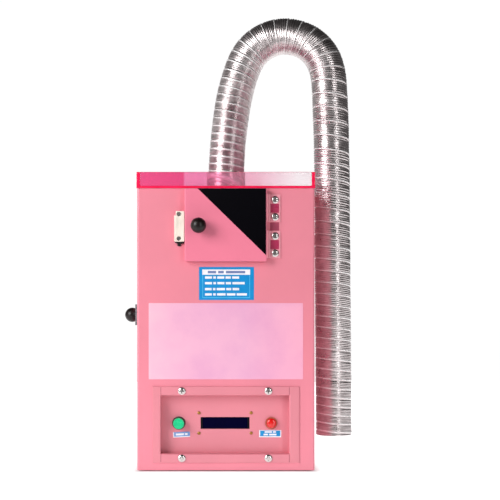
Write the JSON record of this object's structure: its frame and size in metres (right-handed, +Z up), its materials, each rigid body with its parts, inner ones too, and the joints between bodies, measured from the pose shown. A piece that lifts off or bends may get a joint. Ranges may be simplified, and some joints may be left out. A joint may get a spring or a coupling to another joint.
{
  "type": "sanitary waste incinerator",
  "caption": "Pink sheet-steel cabinet with a hinged hopper door, recessed control panel, side ash drawer, clear pink top gallery and a looped corrugated aluminium flue duct.",
  "frame": {"origin": "on the floor under the middle of the cabinet; the glides stand on z = 0 and the underside of the base is 1.5 mm above it", "axes": "+Z up, +X to the right and +Y to the back when facing the hopper door"},
  "size_m": [0.3459, 0.2911, 0.675],
  "materials": {
    "powder_pink": "satin powder coat",
    "pink_acrylic": "clear fluorescent sheet with polished edges",
    "stainless": "heat-tinted stainless sheet",
    "zinc_steel": "zinc-plated",
    "bright_screw": "nickel-plated",
    "brass": "machined brass",
    "black_knob": "polished phenolic",
    "black_trim": "high gloss",
    "black_plastic": "moulded",
    "white_plastic": "moulded cream white",
    "nylon": "moulded",
    "duct_aluminium": "corrugated bright foil",
    "ceramic_wool": "soft fibre blanket",
    "black_rubber": "cord seal",
    "grate_iron": "as cast",
    "lcd_glass": "display glass, unlit navy",
    "pcb_green": "solder resist",
    "lamp_green": "translucent lens",
    "lamp_dark_green": "moulded",
    "button_red": "moulded",
    "button_ring": "moulded",
    "label_blue": "printed film",
    "sticker_pink": "printed film",
    "transformer_steel": "laminations and windings"
  },
  "bodies": {
    "cabinet": {"cabinet_shell": "powder_pink", "base_plate": "powder_pink", "top_plate": "powder_pink", "back_panel": "powder_pink", "cabinet_screws": "bright_screw", "base_glides": "nylon", "acrylic_floor": "pink_acrylic", "acrylic_front_rail": "pink_acrylic", "acrylic_back_rail": "pink_acrylic", "acrylic_left_rail": "pink_acrylic", "acrylic_right_rail": "pink_acrylic", "control_panel": "powder_pink", "panel_screws": "bright_screw", "lcd_board": "pcb_green", "lcd_bezel": "black_plastic", "lcd_glass": "lcd_glass", "lcd_screws": "brass", "lamp_bezel": "lamp_dark_green", "lamp_lens": "lamp_green", "button_bezel": "button_ring", "lamp_label": "label_blue", "button_label": "label_blue", "operating_label": "label_blue", "front_sticker": "sticker_pink", "hinge_frame_leaves": "powder_pink", "hinge_pins": "zinc_steel", "hinge_screws": "bright_screw", "reed_switch": "white_plastic", "reed_switch_screws": "bright_screw", "reed_switch_lead": "black_plastic", "chamber_liner": "stainless", "chamber_insulation": "ceramic_wool", "chamber_shelf": "zinc_steel", "grate": "grate_iron", "heating_elements": "stainless", "thermocouple": "stainless", "flue_spigot": "stainless", "hose_clamp": "zinc_steel", "exhaust_duct": "duct_aluminium", "drawer_runners": "zinc_steel", "control_board": "pcb_green", "transformer": "transformer_steel", "power_relay": "black_plastic", "fan_frame": "black_plastic", "cable_gland": "black_plastic"},
    "hopper_door": {"door_skin": "powder_pink", "door_trim": "black_trim", "door_insulation": "ceramic_wool", "door_liner": "stainless", "door_gasket": "black_rubber", "door_knob": "black_knob", "door_magnet": "zinc_steel", "hinge_door_leaves": "powder_pink"},
    "ash_drawer": {"ash_tray": "stainless", "drawer_front": "zinc_steel", "drawer_gasket": "black_rubber", "drawer_knob": "black_knob"},
    "start_button": {"button_cap": "button_red"},
    "fan_rotor": {"fan_rotor": "black_plastic"}
  },
  "joints": [
    {"name": "hopper_door_hinge", "type": "hinge", "parent": "cabinet", "child": "hopper_door", "pos_m": [0.0605, -0.1226, 0.35], "axis": [0, 0, 1], "range_deg": [0, 90]},
    {"name": "ash_drawer_slide", "type": "slide", "parent": "cabinet", "child": "ash_drawer", "axis": [-1, 0, 0], "range_m": [0, 0.2]},
    {"name": "start_button_press", "type": "slide", "parent": "cabinet", "child": "start_button", "axis": [0, 1, 0], "range_m": [0, 0.0025], "stiffness_N_per_m": 400, "springref_m": -0.001},
    {"name": "fan_rotor_spin", "type": "hinge", "parent": "cabinet", "child": "fan_rotor", "pos_m": [0.055, 0.106, 0.148], "axis": [0, 1, 0], "continuous": true}
  ]
}
